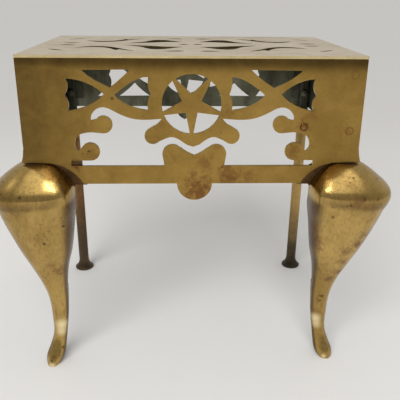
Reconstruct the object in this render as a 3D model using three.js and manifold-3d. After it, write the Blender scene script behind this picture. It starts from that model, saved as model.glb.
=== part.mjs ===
import * as THREE from 'three';
import * as BufferGeometryUtils from 'three/addons/utils/BufferGeometryUtils.js';
import Module from 'manifold-3d';

// A brass trivet of the footman kind: a pierced plate on a pierced frieze, two cast
// cabriole legs in front and two plain rods with penny feet behind.
// Millimetres. X runs to the right, Y to the back and Z up. The floor is Z = 0.
// Outlines of the frieze are drawn as [x, depth below the plate's top].

// Overall size
const PLATE_WIDTH = 305;
const PLATE_DEPTH = 211;
const PLATE_TOP = 313.5;
const SHEET = 2.2;
const GAP = 0.3;
const PLATE_CORNER_RADIUS = 2;

// Frieze: the apron, the back and the two sides
const FRONT_LIP = 2;
const SIDE_LIP = 0.2;
const FRIEZE_TOP = -(SHEET + GAP);
const BACK_BOTTOM = -84.4;
const SIDE_BOTTOM = -84.4;
const CORNER_FLANGE = 22;
const CORNER_FLANGE_ENDS = [-8, -74];
const TOP_FLANGE = 13;
const APRON_FLANGE_HALF = 126;
const SIDE_FLANGE_END = 20;

// Fret of the apron
const STRAP_TOP = -98.4;
const STRAP_BOTTOM = -115.6;
const SLOT_END = 110.5;
const RING_RADIUS = 26.5;
const RING_CENTRE = -42;
const STAR_HOLLOW_RADIUS = 9;
const STAR_TIP_HALF = 1.6;
const STAR_POINTS = 5;
const DROP_RADIUS = 16.3;

// The fret was sawn by hand, so its parts stand a little aside. Shifts to the right:
const RING_SHIFT = -1.3;
const HEART_SHIFT = 1.3;
const DROP_SHIFT = 1.6;
// and shifts outwards on each side, with the further reach of the tail and the cross
const FISH = {
  left: { body: 3, tailReach: 3, crossFrom: 1.7, crossTo: 1.7 },
  right: { body: -2.5, tailReach: 0, crossFrom: -2.4, crossTo: 1.2 },
};
const LOBE_SHIFT = { left: 1, right: -0.4 };

// Fret of the back
const BACK_PATTERN_X = -5;
const BACK_RING_RADIUS = 25;
const BACK_RING_CENTRE = -44.1;

// Cabriole legs. Each stands on the diagonal through its corner of the plate.
// One row for each station: [height, distance in from the corner, half width, squareness]
const CABRIOLE = [
  [217, 9.8, 12.5, 2],
  [215.4, 9.8, 17, 2],
  [212.4, 9.2, 21.5, 2.1],
  [205.4, 7.7, 29.5, 2.3],
  [196, 5.6, 37.1, 2.4],
  [186, 5.3, 37.9, 2.45],
  [177, 7, 36.2, 2.5],
  [160, 8.8, 31.6, 2.7],
  [130, 12, 23.8, 2.8],
  [110, 13.7, 17.2, 2.7],
  [90, 16, 12.2, 2.5],
  [72, 17.6, 9.6, 2.3],
  [50, 17.6, 8.1, 2.1],
  [30, 16.3, 6.9, 2],
  [17, 13.6, 8.1, 2],
  [8, 11.1, 9.3, 2],
  [2.5, 9.6, 8.2, 2],
  [0, 9, 7, 2],
];
const CABRIOLE_RINGS = 36;
const CABRIOLE_SIDES = 28;
const CREASE_HEIGHT = 184;
const CREASE_ABOVE = 4;
const CREASE_BELOW = 12;
const CREASE_DEPTH = { left: 1.6, right: 0.8 };
const CREASE_RISE = 5;

// The two castings aren't quite alike: one leans out and points its toe forwards more
const LEG_LEAN = { left: 1.1, right: -1.1 };
const LEAN_FROM = 160;
const TOE_REACH = { left: 6, right: 1.5 };
const TOE_HEIGHT = 26;

// The leg is cored: a hollow, open towards the inside of the frame
const LEG_WALL = 5;
const HOLLOW_TOP = 209;
const HOLLOW_BOTTOM = 84;
const HOLLOW_RINGS = 10;
const HOLLOW_REACH = 60;

// Lugs of the cabriole legs, behind the apron and inside the side
const LUG_THICKNESS = 5;
const LUG_TOP = -78;
const LUG_BOTTOM = -117.2;
const LUG_ROOT = -127;
const LUG_REACH = { left: 101.6, right: 115.5 };

// Rear legs: flattened above to be riveted in the corner, round below
const ROD_RADIUS = 6.35;
const ROD_SIDES = 16;
const STRAP_HALF_WIDTH = 5.4;
const STRAP_HALF_THICKNESS = 2.5;
const REAR_STRAP_ENDS = [-9, -80];
const REAR_ROUND_FROM = -90;
const REAR_FOOT_X = 145.7;
const REAR_FOOT_IN = 217.3;
const PENNY_RADIUS = 12.3;
const PENNY_CHAMFER = 0.6;
const PENNY_EDGE = 2.6;
const PENNY_FLARE_HEIGHT = 15;

// Rivets
const RIVET_RADIUS = 3;
const RIVET_HOLE_RADIUS = 3.35;
const RIVET_SIDES = 10;
const RIVET_HEAD_RADIUS = 4.6;
const RIVET_HEAD_HEIGHT = 2.2;
const RIVET_CORNER_IN = 10.3;
const RIVET_CORNER_LEVELS = [-16.2, -66.1];
const LUG_RIVET_IN = 17;
const LUG_RIVET_LEVEL = -88.4;
const MEND_RIVET = [100, -62.3];
const MEND_HEAD_RADIUS = 3.6;
const MEND_HEAD_HEIGHT = 1.7;
const MEND_SHANK_RADIUS = 1.8;
const MEND_HOLE_RADIUS = 2.1;
const PLATE_RIVET_IN = 9.5;
const PLATE_RIVETS_ACROSS = [-88, 0, 88];
const PLATE_RIVETS_ALONG = [62, 149];

// Places that follow from the sizes above. The origin is below the middle of the whole trivet.
const KNEE = CABRIOLE.reduce((widest, row) => (row[2] - row[1] > widest[2] - widest[1] ? row : widest));
const KNEE_REACH = KNEE[2] - KNEE[1];
const FRONT = (KNEE_REACH - REAR_FOOT_IN - PENNY_RADIUS) / 2;
const BACK = FRONT + PLATE_DEPTH;
const HALF_WIDTH = PLATE_WIDTH / 2;
const SIDE_FACE = HALF_WIDTH - SIDE_LIP;
const SIDE_INNER = SIDE_FACE - SHEET;
const APRON_FACE = FRONT + FRONT_LIP;
const BEHIND_APRON = APRON_FACE + SHEET + GAP;
const BACK_FACE = BACK - SIDE_LIP;
const BEFORE_BACK = BACK_FACE - SHEET - GAP;
const REAR_STRAP_X = SIDE_INNER - 2 * GAP - STRAP_HALF_WIDTH;
const REAR_STRAP_Y = BEFORE_BACK - SHEET - GAP - STRAP_HALF_THICKNESS;

const wasm = await Module();
wasm.setup();

// Materials
const brass = (name, color, roughness, metalness) =>
  new THREE.MeshStandardMaterial({ name, color, roughness, metalness });

const trivet = new THREE.Group();
trivet.name = 'brass_trivet';

function addPiece(name, geometry, material) {
  const mesh = new THREE.Mesh(geometry, material);
  mesh.name = name;
  trivet.add(mesh);
  return mesh;
}

// Outline helpers. Each gives a list of points.
const points = (pairs) => pairs.map(([x, y]) => new THREE.Vector2(x, y));

function arc(x, y, radius, fromDegrees, toDegrees, steps) {
  const list = [];
  for (let i = 0; i <= steps; i += 1) {
    const angle = THREE.MathUtils.degToRad(fromDegrees + ((toDegrees - fromDegrees) * i) / steps);
    list.push(new THREE.Vector2(x + radius * Math.cos(angle), y + radius * Math.sin(angle)));
  }
  return list;
}

const sweep = (pairs, steps) => new THREE.SplineCurve(points(pairs)).getPoints(steps);

function bow(from, control, to, steps) {
  const curve = new THREE.QuadraticBezierCurve(...points([from, control, to]));
  return curve.getPoints(steps);
}

const mirrorX = (list) => list.map((p) => new THREE.Vector2(-p.x, p.y)).reverse();
const mirrorY = (list, middle) => list.map((p) => new THREE.Vector2(p.x, 2 * middle - p.y)).reverse();
const shiftX = (list, x) => list.map((p) => new THREE.Vector2(p.x + x, p.y));

function withoutRepeats(list) {
  const apart = (a, b) => a.distanceTo(b) > 0.02;
  const kept = list.filter((p, i) => i === 0 || apart(p, list[i - 1]));
  return apart(kept[0], kept[kept.length - 1]) ? kept : kept.slice(0, -1);
}

function extrudeOutline(outline, holes, thickness) {
  const shape = new THREE.Shape(withoutRepeats(outline));
  shape.holes = holes.map((hole) => new THREE.Path(withoutRepeats(hole)));
  return new THREE.ExtrudeGeometry(shape, { depth: thickness, bevelEnabled: false, curveSegments: 1 });
}

// A sheet that faces the front: the outline is [x, depth below the plate's top]
function frontSheet(outline, holes, thickness, frontY) {
  const geometry = extrudeOutline(outline, holes, thickness);
  geometry.rotateX(Math.PI / 2);
  geometry.translate(0, frontY + thickness, PLATE_TOP);
  return geometry;
}

// A sheet that faces the right: the outline is [y, depth below the plate's top]
function sideSheet(outline, holes, thickness, innerX) {
  const geometry = extrudeOutline(outline, holes, thickness);
  geometry.rotateX(Math.PI / 2);
  geometry.rotateZ(Math.PI / 2);
  geometry.translate(innerX, 0, PLATE_TOP);
  return geometry;
}

function box(x0, x1, y0, y1, z0, z1) {
  const geometry = new THREE.BoxGeometry(x1 - x0, y1 - y0, z1 - z0);
  geometry.translate((x0 + x1) / 2, (y0 + y1) / 2, (z0 + z1) / 2);
  return geometry;
}

function mirrorGeometry(geometry) {
  const copy = geometry.clone();
  copy.scale(-1, 1, 1);
  const index = copy.index.array;
  for (let i = 0; i < index.length; i += 3) {
    [index[i], index[i + 1]] = [index[i + 1], index[i]];
  }
  copy.deleteAttribute('normal');
  copy.computeVertexNormals();
  return copy;
}

// Joining and cutting
function toSolid(geometry) {
  const bare = geometry.clone();
  bare.deleteAttribute('normal');
  bare.deleteAttribute('uv');
  const merged = BufferGeometryUtils.mergeVertices(bare, 1e-4);
  const vertProperties = new Float32Array(merged.attributes.position.array);
  const triVerts = new Uint32Array(merged.index.array);
  return new wasm.Manifold(new wasm.Mesh({ numProp: 3, vertProperties, triVerts }));
}

function toGeometry(solid) {
  const mesh = solid.getMesh();
  const geometry = new THREE.BufferGeometry();
  geometry.setAttribute('position', new THREE.BufferAttribute(new Float32Array(mesh.vertProperties), 3));
  geometry.setIndex(new THREE.BufferAttribute(new Uint32Array(mesh.triVerts), 1));
  geometry.computeVertexNormals();
  return geometry;
}

const join = (...pieces) => pieces.map(toSolid).reduce((whole, piece) => whole.add(piece));

// A solid drawn through rings of equal numbers of points, from the lowest ring to the highest
function loft(rings) {
  const count = rings[0].length;
  const positions = rings.flat().flatMap((p) => [p.x, p.y, p.z]);
  const index = [];
  for (let ring = 0; ring < rings.length - 1; ring += 1) {
    for (let i = 0; i < count; i += 1) {
      const here = ring * count + i;
      const next = ring * count + ((i + 1) % count);
      index.push(here, next, next + count, here, next + count, here + count);
    }
  }
  const flat = rings[0].map((p) => new THREE.Vector2(p.x, p.y));
  THREE.ShapeUtils.triangulateShape(flat, []).forEach(([a, b, c]) => index.push(c, b, a));
  const top = rings[rings.length - 1].map((p) => new THREE.Vector2(p.x, p.y));
  const first = (rings.length - 1) * count;
  const lid = THREE.ShapeUtils.triangulateShape(top, []);
  lid.forEach(([a, b, c]) => index.push(first + a, first + b, first + c));
  const geometry = new THREE.BufferGeometry();
  geometry.setAttribute('position', new THREE.Float32BufferAttribute(positions, 3));
  geometry.setIndex(index);
  geometry.computeVertexNormals();
  return geometry;
}

const roundHole = (x, y, radius) => arc(x, y, radius, 0, 360 - 360 / RIVET_SIDES, RIVET_SIDES - 1);

// Fish and star fret, shared by the apron and the back

// Five openings between the arms of a star that stands in a ring, one arm straight down
function starOpenings(x, y, radius) {
  const tip = THREE.MathUtils.radToDeg(STAR_TIP_HALF / radius);
  const pitch = 360 / STAR_POINTS;
  const openings = [];
  for (let i = 0; i < STAR_POINTS; i += 1) {
    const arm = -90 + i * pitch;
    const rim = arc(x, y, radius, arm + tip, arm + pitch - tip, 6);
    const hollow = arc(x, y, STAR_HOLLOW_RADIUS, arm + pitch / 2, arm + pitch / 2, 1).slice(0, 1);
    openings.push([...rim, ...hollow]);
  }
  return openings;
}

// Tail of the fish, its outer edge cut in two scallops
function tailOpening(reach) {
  return [
    ...bow([77.9, -33.2], [88, -44.5], [107.4 + reach, -47.9], 6),
    ...bow([107.4 + reach, -47.9], [103.6 + reach, -40.6], [109 + reach, -34.1], 4),
    ...bow([109 + reach, -34.1], [103.8 + reach, -27.4], [107.3 + reach, -19.6], 4),
    ...bow([107.3 + reach, -19.6], [90.5, -20.6], [77.9, -33.2], 6),
  ];
}

// Body of the fish, open towards the ring
function bodyOpening() {
  return [
    ...bow([66, -33.8], [57.5, -44.5], [36.9, -47.1], 6),
    ...bow([36.9, -47.1], [38.2, -40], [34.4, -33], 4),
    ...bow([34.4, -33], [37.6, -26], [36.2, -18.3], 4),
    ...bow([36.2, -18.3], [46.5, -17.2], [66, -33.8], 6),
  ];
}

// Three-cornered opening above the place where the fish's body and tail cross
function crossOpening(from, to) {
  return [
    ...bow([53 + from, -12], [61.5 + from, -20.5], [72 + from / 3, -27.5], 4),
    ...bow([72 + from / 3, -27.5], [87 + to, -20.5], [94.7 + to, -12.4], 4),
  ];
}

// Half of the large opening below the fishes, from the ring's point to the heart's dip
function scrollOpeningHalf(lobeShift, heartShift) {
  const lobe = sweep(
    [[0, -80.4], [5.4, -78.6], [10.6, -74.9], [15, -72.4], [19.3, -71.5], [24.2, -73], [29.6, -75.6]],
    12,
  );
  const neck = sweep([[35.4, -62], [30.6, -59.4], [26.9, -55.1]], 4);
  const lobeEnd = [...arc(35.2, -70.6, 7.4, -125, 68, 9), ...neck];
  const dip = sweep([[12.7, -81], [5.8, -85.8], [0, -88.4]], 4);
  const heart = [...arc(19.9, -87.4, 9.3, -20, 138, 8), ...dip];
  return [
    ...lobe.map((p) => new THREE.Vector2(p.x + lobeShift * (p.x / lobe[lobe.length - 1].x), p.y)),
    ...shiftX(lobeEnd, lobeShift),
    ...sweep([[27.3, -54.8], [39.2, -55.7], [48.9, -55.5], [56.4, -54.1], [63.9, -51.2], [71.6, -47.2]], 10),
    ...sweep([[71.6, -47.2], [77.4, -44.7], [82.8, -45.1], [87.3, -47.9], [90.3, -52.4], [90.4, -56.3]], 8),
    ...arc(79.6, -60.1, 8, 38, 275, 11),
    ...sweep([[85.8, -67.5], [92.8, -67.1], [100, -68.6], [104.4, -71.8], [106.1, -77]], 6),
    ...sweep([[106.1, -77], [106.2, -79.6], [105.4, -82], [103.2, -84.6]], 4),
    ...arc(92.4, -84.9, 8.4, 35, 270, 11),
    ...points([[SLOT_END, -93.3], [SLOT_END, STRAP_TOP], [27.4 + heartShift, STRAP_TOP]]),
    ...shiftX(heart, heartShift),
  ];
}

// Apron, one pierced sheet with its top edge turned back under the plate
const cornerRivetX = SIDE_FACE - RIVET_CORNER_IN;
const lugRivetX = SIDE_FACE - LUG_RIVET_IN;

function apronHalfOutline(dropShift) {
  return [
    ...arc(dropShift, STRAP_BOTTOM, DROP_RADIUS, -90, 0, 8),
    ...sweep([[100.4, STRAP_BOTTOM], [104, -110], [110.5, -103.7], [119, -98.6], [129, -95.9]], 10),
    ...points([[SIDE_FACE + 2.8, -95.3], [SIDE_FACE + 1, -89], [SIDE_FACE, -82], [SIDE_FACE, FRIEZE_TOP]]),
  ];
}

function makeApron() {
  const fishes = ({ body, tailReach, crossFrom, crossTo }) =>
    [tailOpening(tailReach), shiftX(bodyOpening(), body), crossOpening(crossFrom, crossTo)];
  const corners = RIVET_CORNER_LEVELS.map((level) => roundHole(cornerRivetX, level, RIVET_HOLE_RADIUS));
  const lug = roundHole(lugRivetX, LUG_RIVET_LEVEL, RIVET_HOLE_RADIUS);
  const rivets = [...corners, lug];
  const scrollRight = scrollOpeningHalf(LOBE_SHIFT.right, HEART_SHIFT);
  const scrollLeft = scrollOpeningHalf(LOBE_SHIFT.left, -HEART_SHIFT);
  const holes = [
    ...fishes(FISH.right),
    ...fishes(FISH.left).map(mirrorX),
    ...rivets,
    ...rivets.map(mirrorX),
    ...starOpenings(RING_SHIFT, RING_CENTRE, RING_RADIUS),
    [...scrollRight, ...mirrorX(scrollLeft)],
    roundHole(...MEND_RIVET, MEND_HOLE_RADIUS),
  ];
  const outline = [...apronHalfOutline(DROP_SHIFT), ...mirrorX(apronHalfOutline(-DROP_SHIFT))];
  const web = frontSheet(outline, holes, SHEET, APRON_FACE);
  const top = PLATE_TOP + FRIEZE_TOP;
  const [half, middle, turnBack] = [APRON_FLANGE_HALF, APRON_FACE + SHEET / 2, APRON_FACE + TOP_FLANGE];
  const flange = box(-half, half, middle, turnBack, top - SHEET, top);
  return toGeometry(drillForPlate(join(web, flange), apronPlateRivets()));
}

// Rivets that hold the plate on the turned edges: [x, y]
const apronPlateRivets = () => PLATE_RIVETS_ACROSS.map((x) => [x, FRONT + PLATE_RIVET_IN]);
const backPlateRivets = () => PLATE_RIVETS_ACROSS.map((x) => [x, BACK - PLATE_RIVET_IN]);
const sidePlateRivets = (side) =>
  PLATE_RIVETS_ALONG.map((y) => [side * (HALF_WIDTH - PLATE_RIVET_IN), FRONT + y]);

function drill(x, y, z, axis, length, radius) {
  const geometry = new THREE.CylinderGeometry(radius, radius, length, RIVET_SIDES);
  if (axis === 'z') geometry.rotateX(Math.PI / 2);
  if (axis === 'x') geometry.rotateZ(Math.PI / 2);
  geometry.translate(x, y, z);
  return toSolid(geometry);
}

function drillForPlate(solid, places) {
  return places.reduce(
    (whole, [x, y]) => whole.subtract(drill(x, y, PLATE_TOP + FRIEZE_TOP, 'z', 4 * SHEET, RIVET_HOLE_RADIUS)),
    solid,
  );
}

// Back, a plainer fret: the same fishes and star, a straight rail and a small pendant
function backHalfOutline() {
  return [
    ...bow([0, -101], [9, -97.5], [13, BACK_BOTTOM], 5),
    ...points([[SIDE_FACE, BACK_BOTTOM], [SIDE_FACE, FRIEZE_TOP]]),
  ];
}

function backOpenings() {
  const tail = [
    ...bow([67.5, -45.2], [78, -55.5], [91, -59.5], 5),
    ...bow([91, -59.5], [88.6, -52.5], [92.9, -45.6], 4),
    ...bow([92.9, -45.6], [88.6, -38.6], [91, -31.6], 4),
    ...bow([91, -31.6], [78, -35.5], [67.5, -45.2], 5),
  ];
  const body = [
    ...bow([59.6, -45.9], [51, -57.5], [31, -60.5], 5),
    ...bow([31, -60.5], [33, -53], [30, -44.7], 4),
    ...bow([30, -44.7], [33, -38], [31, -30.5], 4),
    ...bow([31, -30.5], [51, -33.5], [59.6, -45.9], 5),
  ];
  const above = [
    ...bow([62, -38.9], [56, -28.5], [44, -21], 4),
    ...bow([80, -21], [69, -28.5], [62, -38.9], 4),
  ];
  const below = [
    ...bow([61.5, -55.3], [54, -64.5], [43, -71.3], 4),
    ...bow([81.2, -71.7], [70, -64.5], [61.5, -55.3], 4),
  ];
  const corner = points([[89.1, -71.8], [95.5, -62.8], [102, -66.5], [107.5, -72]]);
  const half = [tail, body, above, below, corner];
  return [...half, ...half.map(mirrorX), ...starOpenings(0, BACK_RING_CENTRE, BACK_RING_RADIUS)];
}

const rearRivetX = REAR_STRAP_X;

function makeBack() {
  const half = backHalfOutline();
  const pendant = shiftX(half.slice(0, 6), BACK_PATTERN_X);
  const pendantLeft = shiftX(mirrorX(half.slice(0, 6)), BACK_PATTERN_X);
  const rightEdge = half.slice(6);
  const outline = [...pendant, ...rightEdge, ...mirrorX(rightEdge), ...pendantLeft];
  const rivets = RIVET_CORNER_LEVELS.flatMap((level) =>
    [-rearRivetX, rearRivetX].map((x) => roundHole(x, level, RIVET_HOLE_RADIUS)));
  const openings = backOpenings().map((opening) => shiftX(opening, BACK_PATTERN_X));
  const web = frontSheet(outline, [...openings, ...rivets], SHEET, BACK_FACE - SHEET);
  const top = PLATE_TOP + FRIEZE_TOP;
  const flange = box(
    -APRON_FLANGE_HALF, APRON_FLANGE_HALF, BACK_FACE - TOP_FLANGE, BACK_FACE - SHEET / 2, top - SHEET, top,
  );
  return toGeometry(drillForPlate(join(web, flange), backPlateRivets()));
}

// Side, a plain sheet with three turned edges. It comes down in front over the leg's lug,
// with the same arch as the apron's.
function makeSide() {
  const front = BEHIND_APRON;
  const rear = BEFORE_BACK;
  const outline = [
    ...points([[front, FRIEZE_TOP], [front, -95.3], [FRONT + 23.4, -95.9]]),
    ...shiftX(sweep([[23.4, -95.9], [33, -98.2], [39, -96.5], [44, -90], [52, SIDE_BOTTOM]], 8), FRONT),
    ...points([[rear, SIDE_BOTTOM], [rear, FRIEZE_TOP]]),
  ];
  const lugHole = roundHole(FRONT + FRONT_LIP + LUG_RIVET_IN, LUG_RIVET_LEVEL, RIVET_HOLE_RADIUS);
  const web = sideSheet(outline, [lugHole], SHEET, SIDE_INNER);
  const [flangeTop, flangeBottom] = CORNER_FLANGE_ENDS.map((level) => PLATE_TOP + level);
  const middle = SIDE_INNER + SHEET / 2;
  const inner = SIDE_FACE - CORNER_FLANGE;
  const frontFlange = box(inner, middle, front, front + SHEET, flangeBottom, flangeTop);
  const rearFlange = box(inner, middle, rear - SHEET, rear, flangeBottom, flangeTop);
  const top = PLATE_TOP + FRIEZE_TOP;
  const [from, to] = [front + SIDE_FLANGE_END, rear - SIDE_FLANGE_END];
  const topFlange = box(SIDE_FACE - TOP_FLANGE, middle, from, to, top - SHEET, top);
  let solid = join(web, frontFlange, rearFlange, topFlange);
  for (const level of RIVET_CORNER_LEVELS) {
    const z = PLATE_TOP + level;
    solid = solid.subtract(drill(cornerRivetX, front, z, 'y', 4 * SHEET, RIVET_HOLE_RADIUS));
    solid = solid.subtract(drill(rearRivetX, rear, z, 'y', 4 * SHEET, RIVET_HOLE_RADIUS));
  }
  return toGeometry(drillForPlate(solid, sidePlateRivets(1)));
}

// Plate, pierced all over. One quarter is drawn as [x, distance from the front edge].
function plateQuarter() {
  const leaf = [...bow([7, 39], [12, 46.5], [27, 38], 5), ...bow([27, 38], [13, 31.5], [7, 39], 5)];
  const fish = [
    ...sweep([[8, 79], [19, 65], [27, 55.5], [36, 54], [43, 62], [50, 78], [67, 94]], 14),
    ...sweep([[67, 94], [51, 91], [37, 86], [24, 79.5], [8, 79]], 8),
  ];
  const arch = [
    ...sweep([[52, 37], [64, 54], [76, 73], [90, 82.5], [103, 78], [113, 65]], 14),
    ...sweep([[113, 65], [102, 70], [92, 72.5], [83, 68], [76, 57.5]], 7),
    ...points([[71, 45], [68, 51.5]]),
    ...sweep([[68, 51.5], [61, 43.5], [52, 37]], 4),
  ];
  const slit = [...bow([114, 92], [124, 101], [132, 94], 4), ...bow([132, 94], [123, 88], [114, 92], 4)];
  const wedge = [...bow([117, 38.5], [124, 49], [135, 54], 4), ...bow([135, 54], [128, 42], [117, 38.5], 4)];
  return [leaf, fish, arch, slit, wedge];
}

function makePlate() {
  const middle = PLATE_DEPTH / 2;
  const right = plateQuarter().flatMap((hole) => [hole, mirrorY(hole, middle)]);
  const eyelid = bow([2, middle], [7, middle + 8], [12.5, middle], 4);
  const eye = [...eyelid, ...mirrorY(eyelid, middle)];
  const fret = [...right, eye].flatMap((hole) => [hole, mirrorX(hole)]);
  const edge = HALF_WIDTH - PLATE_CORNER_RADIUS;
  const far = PLATE_DEPTH - PLATE_CORNER_RADIUS;
  const outline = [
    ...arc(edge, PLATE_CORNER_RADIUS, PLATE_CORNER_RADIUS, -90, 0, 3),
    ...arc(edge, far, PLATE_CORNER_RADIUS, 0, 90, 3),
    ...arc(-edge, far, PLATE_CORNER_RADIUS, 90, 180, 3),
    ...arc(-edge, PLATE_CORNER_RADIUS, PLATE_CORNER_RADIUS, 180, 270, 3),
  ];
  const places = [...apronPlateRivets(), ...backPlateRivets(), ...sidePlateRivets(-1), ...sidePlateRivets(1)];
  const rivets = places.map(([x, y]) => roundHole(x, y - FRONT, RIVET_HOLE_RADIUS));
  const geometry = extrudeOutline(outline, [...fret, ...rivets], SHEET);
  geometry.translate(0, FRONT, PLATE_TOP - SHEET);
  return geometry;
}

// Cabriole leg of the right-hand corner

// The line of the leg, from the floor up: x is the height, y the distance in, z the half width
const legLine = new THREE.CatmullRomCurve3(
  CABRIOLE.map(([height, inward, half]) => new THREE.Vector3(height, inward, half)).reverse(),
  false,
  'centripetal',
);
const legHeights = CABRIOLE.map((row) => row[0]).reverse();
const legSquareness = CABRIOLE.map((row) => row[3]).reverse();

function valueAt(height, heights, values) {
  const above = heights.findIndex((entry) => entry >= height);
  if (above <= 0) return values[above === 0 ? 0 : values.length - 1];
  const share = (height - heights[above - 1]) / (heights[above] - heights[above - 1]);
  return values[above - 1] + share * (values[above] - values[above - 1]);
}

// A rounded square whose faces look along X and Y
function section(half, squareness, angle) {
  const power = 2 / squareness;
  const c = Math.cos(angle);
  const s = Math.sin(angle);
  return [half * Math.sign(c) * Math.abs(c) ** power, half * Math.sign(s) * Math.abs(s) ** power];
}

// The soft crease under the cap of the knee is sharp above and fades below. It is lowest on
// the diagonal, and deeper on the left leg than on the right one.
function crease(hand, height, angle) {
  const turned = Math.cos(angle + Math.PI / 4);
  const rise = height - CREASE_HEIGHT - CREASE_RISE * (1 - turned);
  const spread = rise > 0 ? CREASE_ABOVE : CREASE_BELOW;
  const depth = CREASE_DEPTH[hand] * THREE.MathUtils.smoothstep(turned, -0.3, 0.3);
  return depth * Math.exp(-((rise / spread) ** 2));
}

// How far the leg stands out along X and Y at a height, beyond the mean of the two
const lean = (hand, height) =>
  LEG_LEAN[hand] * (1 - THREE.MathUtils.smoothstep(height, LEAN_FROM / 2, LEAN_FROM));

function cabrioleBody(hand) {
  const rings = legLine.getSpacedPoints(CABRIOLE_RINGS).map((place) => {
    const { x: height, y, z: half } = place;
    const inward = y - lean(hand, height);
    const toe = TOE_REACH[hand] * Math.max(0, 1 - height / TOE_HEIGHT) ** 2;
    const squareness = valueAt(height, legHeights, legSquareness);
    const ring = [];
    for (let i = 0; i < CABRIOLE_SIDES; i += 1) {
      const angle = (i / CABRIOLE_SIDES) * 2 * Math.PI;
      const [dx, dy] = section(half - crease(hand, height, angle), squareness, angle);
      const forwards = dy + toe * Math.min(0, dy / half);
      ring.push(new THREE.Vector3(HALF_WIDTH - inward + dx, FRONT + inward + forwards, height));
    }
    return ring;
  });
  return loft(rings);
}

// The core: it follows the outside at the wall's thickness and is open to the inner quarter
function cabrioleHollow(hand) {
  const inwards = CABRIOLE.map((row) => row[1]).reverse();
  const halves = CABRIOLE.map((row) => row[2]).reverse();
  const quarter = CABRIOLE_SIDES / 4;
  const rings = [];
  for (let i = 0; i <= HOLLOW_RINGS; i += 1) {
    const height = HOLLOW_BOTTOM + ((HOLLOW_TOP - HOLLOW_BOTTOM) * i) / HOLLOW_RINGS;
    const inward = valueAt(height, legHeights, inwards) - lean(hand, height);
    const half = valueAt(height, legHeights, halves) - LEG_WALL;
    const squareness = valueAt(height, legHeights, legSquareness);
    const x = HALF_WIDTH - inward;
    const y = FRONT + inward;
    const ring = [];
    for (let k = 0; k <= 3 * quarter; k += 1) {
      const angle = Math.PI + ((k / quarter) * Math.PI) / 2;
      const [dx, dy] = section(half, squareness, angle);
      ring.push(new THREE.Vector3(x + dx, y + dy, height));
    }
    ring.push(new THREE.Vector3(x, y + HOLLOW_REACH, height));
    ring.push(new THREE.Vector3(x - HOLLOW_REACH, y + HOLLOW_REACH, height));
    ring.push(new THREE.Vector3(x - HOLLOW_REACH, y, height));
    rings.push(ring);
  }
  return loft(rings);
}

// Lug behind the apron. Its free edge follows the arch and shows below the apron.
function lugOutline(reach) {
  const root = SIDE_INNER - GAP;
  return points([
    [root, LUG_TOP],
    [119, LUG_TOP],
    [reach + 2, -91],
    [reach, -96],
    [Math.min(reach, 102.5), -103.5],
    [98.6, -109.5],
    [97.8, LUG_BOTTOM],
    [108.5, LUG_BOTTOM],
    [114, LUG_ROOT],
    [root, LUG_ROOT],
  ]);
}

function makeCabriole(hand) {
  const front = frontSheet(lugOutline(LUG_REACH[hand]), [], LUG_THICKNESS, BEHIND_APRON);
  const turned = (p) => new THREE.Vector2(Math.max(BEHIND_APRON, FRONT + HALF_WIDTH - p.x), p.y);
  const sideLug = lugOutline(LUG_REACH.right).map(turned);
  const corner = SIDE_INNER - GAP;
  const side = sideSheet(sideLug, [], LUG_THICKNESS, corner - LUG_THICKNESS);
  const rivetZ = PLATE_TOP + LUG_RIVET_LEVEL;
  const sideRivetY = FRONT + FRONT_LIP + LUG_RIVET_IN;
  const solid = toSolid(cabrioleBody(hand))
    .subtract(toSolid(cabrioleHollow(hand)))
    .add(toSolid(front))
    .add(toSolid(side))
    .subtract(drill(lugRivetX, BEHIND_APRON, rivetZ, 'y', 4 * LUG_THICKNESS, RIVET_HOLE_RADIUS))
    .subtract(drill(corner, sideRivetY, rivetZ, 'x', 4 * LUG_THICKNESS, RIVET_HOLE_RADIUS));
  return toGeometry(solid);
}

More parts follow.
